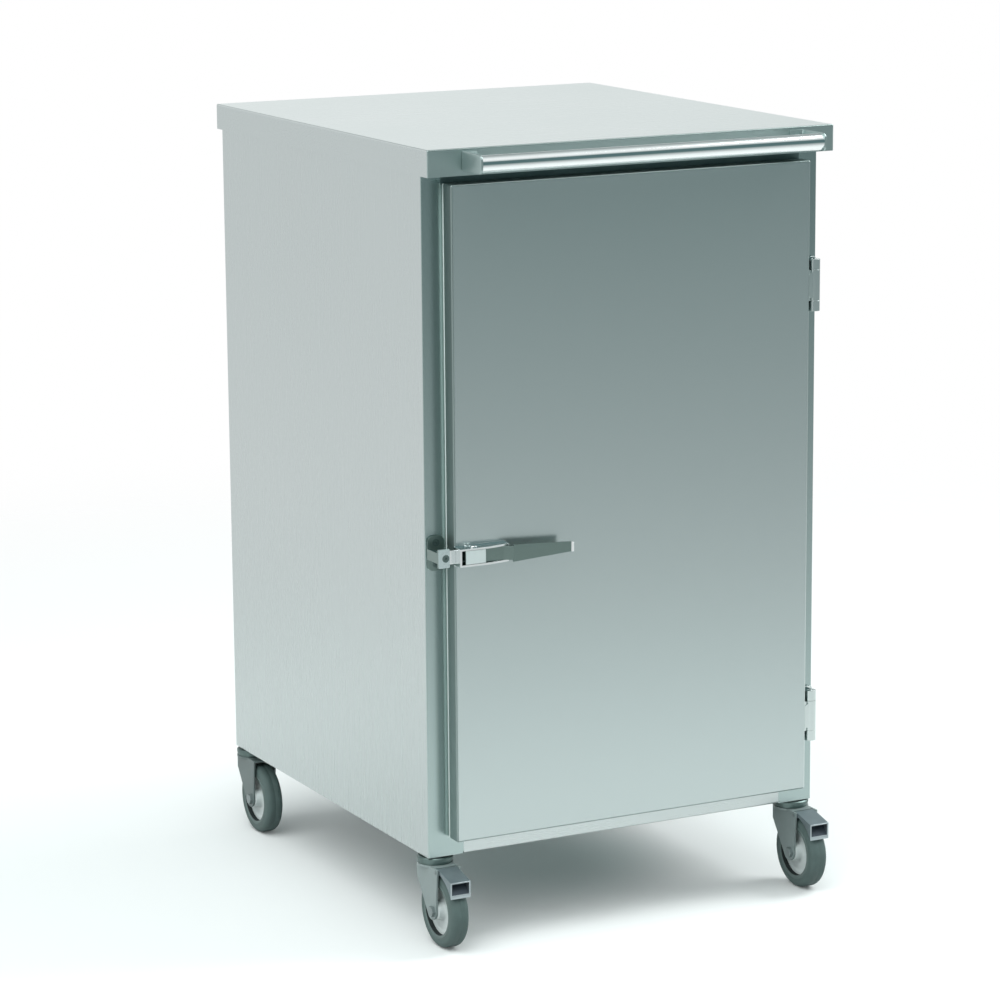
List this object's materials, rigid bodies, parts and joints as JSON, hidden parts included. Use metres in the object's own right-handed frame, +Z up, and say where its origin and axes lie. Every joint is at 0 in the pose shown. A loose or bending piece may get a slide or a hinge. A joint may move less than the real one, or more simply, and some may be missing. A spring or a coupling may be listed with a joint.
{
  "type": "sterile material trolley",
  "caption": "Closed stainless steel trolley with an overhanging worktop, push bar, hinged door with a lever latch, inner shelves and swivel castors with foot brakes.",
  "frame": {"origin": "centre of the bounding box's bottom face, on the floor", "axes": "+Z up, -Y towards the door and the push bar, +X to the right as seen from the front"},
  "size_m": [0.6, 0.7326, 1.055],
  "materials": {
    "sheet_stainless": "fine brushed",
    "door_stainless": "fine brushed",
    "polished_stainless": "polished",
    "zinc_steel": "bright zinc plated",
    "wheel_centre": "satin moulded",
    "tyre_rubber": "smooth grey rubber",
    "seal_rubber": "matt silicone",
    "core_foam": "rigid foam"
  },
  "bodies": {
    "cabinet": {"top_plate": "sheet_stainless", "left_side_panel": "sheet_stainless", "right_side_panel": "sheet_stainless", "back_panel": "sheet_stainless", "roof_panel": "sheet_stainless", "floor_panel": "sheet_stainless", "front_rail_top": "sheet_stainless", "front_rail_bottom": "sheet_stainless", "shelf_uprights": "sheet_stainless", "shelf_clips": "sheet_stainless", "shelf_lower": "sheet_stainless", "shelf_upper": "sheet_stainless", "top_stiffeners": "sheet_stainless", "base_rail_left": "sheet_stainless", "base_rail_right": "sheet_stainless", "base_cross_members": "sheet_stainless", "push_bar": "polished_stainless", "hinge_upper_frame_leaf": "polished_stainless", "hinge_lower_frame_leaf": "polished_stainless", "hinge_pins": "polished_stainless", "keeper_foot": "polished_stainless", "keeper": "polished_stainless", "push_bar_screws": "zinc_steel", "frame_screws": "zinc_steel", "castor_heads": "zinc_steel", "castor_races": "zinc_steel", "castor_nuts": "zinc_steel"},
    "door": {"door_outer_skin": "door_stainless", "door_inner_liner": "door_stainless", "door_core": "core_foam", "door_gasket": "seal_rubber", "hinge_upper_door_leaf": "polished_stainless", "hinge_lower_door_leaf": "polished_stainless", "door_screws": "zinc_steel", "latch_housing": "polished_stainless", "latch_pin": "polished_stainless", "latch_spring": "zinc_steel"},
    "latch_lever": {"latch_lever": "polished_stainless"},
    "latch_bolt": {"latch_bolt": "polished_stainless"},
    "castor_front_left_swivel": {"castor_front_left_fork": "zinc_steel", "castor_front_left_axle": "zinc_steel"},
    "castor_front_left_wheel": {"castor_front_left_rim": "wheel_centre", "castor_front_left_tyre": "tyre_rubber"},
    "brake_pedal_front_left": {"brake_pedal_front_left": "zinc_steel"},
    "castor_front_right_swivel": {"castor_front_right_fork": "zinc_steel", "castor_front_right_axle": "zinc_steel"},
    "castor_front_right_wheel": {"castor_front_right_rim": "wheel_centre", "castor_front_right_tyre": "tyre_rubber"},
    "brake_pedal_front_right": {"brake_pedal_front_right": "zinc_steel"},
    "castor_rear_left_swivel": {"castor_rear_left_fork": "zinc_steel", "castor_rear_left_axle": "zinc_steel"},
    "castor_rear_left_wheel": {"castor_rear_left_rim": "wheel_centre", "castor_rear_left_tyre": "tyre_rubber"},
    "castor_rear_right_swivel": {"castor_rear_right_fork": "zinc_steel", "castor_rear_right_axle": "zinc_steel"},
    "castor_rear_right_wheel": {"castor_rear_right_rim": "wheel_centre", "castor_rear_right_tyre": "tyre_rubber"}
  },
  "joints": [
    {"name": "door_hinge", "type": "hinge", "parent": "cabinet", "child": "door", "pos_m": [0.2775, -0.29925, 0.544], "axis": [0, 0, 1], "range_deg": [0, 180]},
    {"name": "latch_lever_turn", "type": "hinge", "parent": "door", "child": "latch_lever", "pos_m": [-0.2445, -0.31825, 0.53], "axis": [0, 0, -1], "range_deg": [0, 34], "stiffness_Nm_per_rad": 0.3, "springref_deg": -17.19},
    {"name": "latch_bolt_slide", "type": "slide", "parent": "door", "child": "latch_bolt", "axis": [1, 0, 0], "range_m": [0, 0.0044]},
    {"name": "castor_front_left_swivel_turn", "type": "hinge", "parent": "cabinet", "child": "castor_front_left_swivel", "pos_m": [-0.2748, -0.25675, 0.109], "axis": [0, 0, 1], "continuous": true},
    {"name": "castor_front_left_wheel_spin", "type": "hinge", "parent": "castor_front_left_swivel", "child": "castor_front_left_wheel", "pos_m": [-0.2748, -0.28475, 0.05], "axis": [1, 0, 0], "continuous": true},
    {"name": "brake_pedal_front_left_press", "type": "hinge", "parent": "castor_front_left_swivel", "child": "brake_pedal_front_left", "pos_m": [-0.2748, -0.29275, 0.1045], "axis": [1, 0, 0], "range_deg": [0, 5.5]},
    {"name": "castor_front_right_swivel_turn", "type": "hinge", "parent": "cabinet", "child": "castor_front_right_swivel", "pos_m": [0.2748, -0.25675, 0.109], "axis": [0, 0, 1], "continuous": true},
    {"name": "castor_front_right_wheel_spin", "type": "hinge", "parent": "castor_front_right_swivel", "child": "castor_front_right_wheel", "pos_m": [0.2748, -0.28475, 0.05], "axis": [1, 0, 0], "continuous": true},
    {"name": "brake_pedal_front_right_press", "type": "hinge", "parent": "castor_front_right_swivel", "child": "brake_pedal_front_right", "pos_m": [0.2748, -0.29275, 0.1045], "axis": [1, 0, 0], "range_deg": [0, 5.5]},
    {"name": "castor_rear_left_swivel_turn", "type": "hinge", "parent": "cabinet", "child": "castor_rear_left_swivel", "pos_m": [-0.2748, 0.34225, 0.109], "axis": [0, 0, 1], "continuous": true},
    {"name": "castor_rear_left_wheel_spin", "type": "hinge", "parent": "castor_rear_left_swivel", "child": "castor_rear_left_wheel", "pos_m": [-0.2748, 0.31425, 0.05], "axis": [1, 0, 0], "continuous": true},
    {"name": "castor_rear_right_swivel_turn", "type": "hinge", "parent": "cabinet", "child": "castor_rear_right_swivel", "pos_m": [0.2748, 0.34225, 0.109], "axis": [0, 0, 1], "continuous": true},
    {"name": "castor_rear_right_wheel_spin", "type": "hinge", "parent": "castor_rear_right_swivel", "child": "castor_rear_right_wheel", "pos_m": [0.2748, 0.31425, 0.05], "axis": [1, 0, 0], "continuous": true}
  ],
  "couplings": [
    {"joint": "latch_bolt_slide", "follows": "latch_lever_turn", "m_per_rad": 0.007292}
  ]
}
